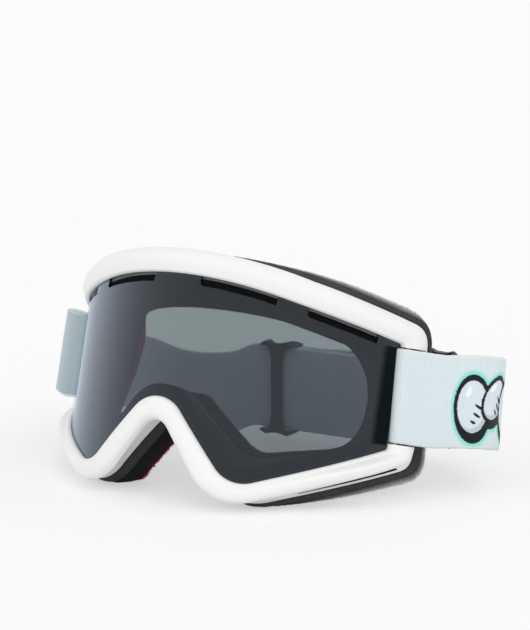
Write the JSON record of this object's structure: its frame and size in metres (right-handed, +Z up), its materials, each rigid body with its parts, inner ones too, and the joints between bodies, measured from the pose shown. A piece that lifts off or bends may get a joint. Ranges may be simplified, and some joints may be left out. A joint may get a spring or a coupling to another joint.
{
  "type": "snowboard goggles",
  "caption": "Snow goggles lying on a table: wide wrap lens in a white W-shaped frame, layered face foam, and an elastic strap with sliders.",
  "frame": {"origin": "centre of the bounding box, on the table that the goggles lie on", "axes": "+X to the right of someone who looks at the lens, +Y from the lens towards the rear strap, +Z up; the goggles lean back by 15 degrees"},
  "size_m": [0.2326, 0.136, 0.1065],
  "materials": {
    "frame_white": "smooth satin moulded polyurethane",
    "inner_black": "matte moulded",
    "lens_tint": "dark grey tinted polycarbonate, glossy",
    "lens_clear": "clear anti-fog acetate",
    "spacer_black": "closed-cell foam spacer",
    "vent_foam": "open-cell filter foam",
    "foam_grey": "firm open-cell foam",
    "foam_black": "soft open-cell foam",
    "fleece_maroon": "brushed fleece",
    "pin_metal": "brass-brown plated steel",
    "strap_elastic": "knitted elastic webbing",
    "slider_black": "semi-gloss moulded acetal"
  },
  "bodies": {
    "frame": {"frame_shell": "frame_white", "inner_frame": "inner_black", "lens_outer": "lens_tint", "lens_gasket": "spacer_black", "lens_inner": "lens_clear", "vent_foam_top_left": "vent_foam", "vent_foam_top_right": "vent_foam", "vent_foam_lower_left": "vent_foam", "vent_foam_lower_right": "vent_foam", "foam_backing": "foam_grey", "foam_core": "foam_black", "foam_fleece": "fleece_maroon", "strap_pin_left": "pin_metal", "strap_pin_right": "pin_metal", "strap_loop_left": "strap_elastic", "strap_loop_right": "strap_elastic", "strap_side_left": "strap_elastic", "strap_side_right": "strap_elastic"},
    "strap_rear": {"strap_rear": "strap_elastic", "strap_return": "strap_elastic", "strap_fold_b": "strap_elastic", "slider_b": "slider_black"},
    "slider_a": {"slider_a": "slider_black", "strap_fold_a": "strap_elastic"}
  },
  "joints": [
    {"name": "strap_stretch", "type": "slide", "parent": "frame", "child": "strap_rear", "axis": [0, 1, 0], "range_m": [0, 0.11], "stiffness_N_per_m": 100, "deforming": ["strap_side_left", "strap_side_right"]},
    {"name": "slider_a_travel", "type": "slide", "parent": "strap_rear", "child": "slider_a", "axis": [1, 0, 0], "range_m": [-0.003, 0.04], "deforming": ["strap_return"]}
  ]
}
